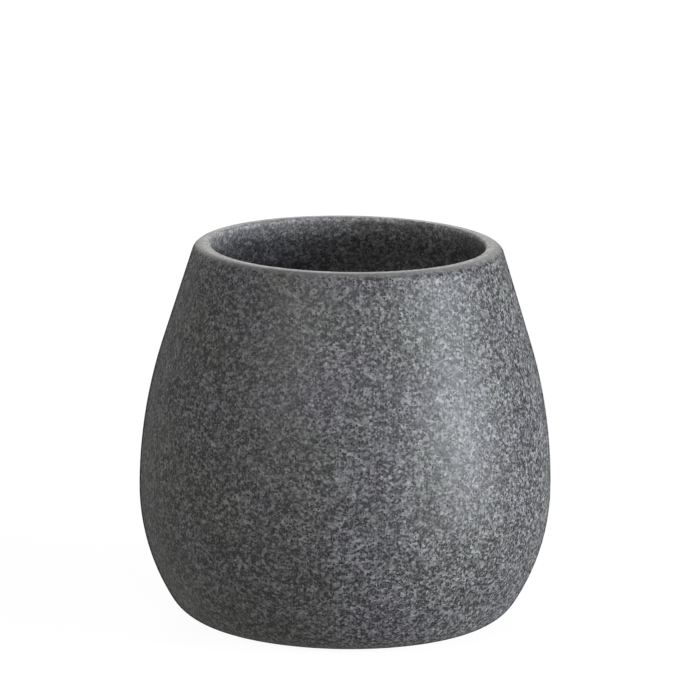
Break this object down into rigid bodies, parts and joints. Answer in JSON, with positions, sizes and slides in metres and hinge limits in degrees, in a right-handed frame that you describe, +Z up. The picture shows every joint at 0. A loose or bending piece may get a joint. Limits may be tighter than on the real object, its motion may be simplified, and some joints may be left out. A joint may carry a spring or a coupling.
{
  "type": "bathroom tumbler",
  "caption": "Round-bellied stone-effect bathroom tumbler with a leaning neck, a soft-edged open rim and a non-slip pad under its foot.",
  "frame": {"origin": "on the tumbler's axis, at the underside of the base pad, which is the level of the surface that it stands on", "axes": "+Z up along the axis of the turned shape; the shape is round, so +X and +Y are equal, and -Y is the side that faces the picture's camera"},
  "size_m": [0.1, 0.1, 0.0926],
  "materials": {
    "stone_resin": "satin cast resin with fine dark and light granite grains",
    "adhesive_film": "thin translucent double-sided film",
    "soft_pad": "matt closed-cell soft rubber with a fine pebbled skin"
  },
  "bodies": {
    "root": {"tumbler_body": "stone_resin", "pad_adhesive": "adhesive_film", "base_pad": "soft_pad"}
  },
  "joints": []
}
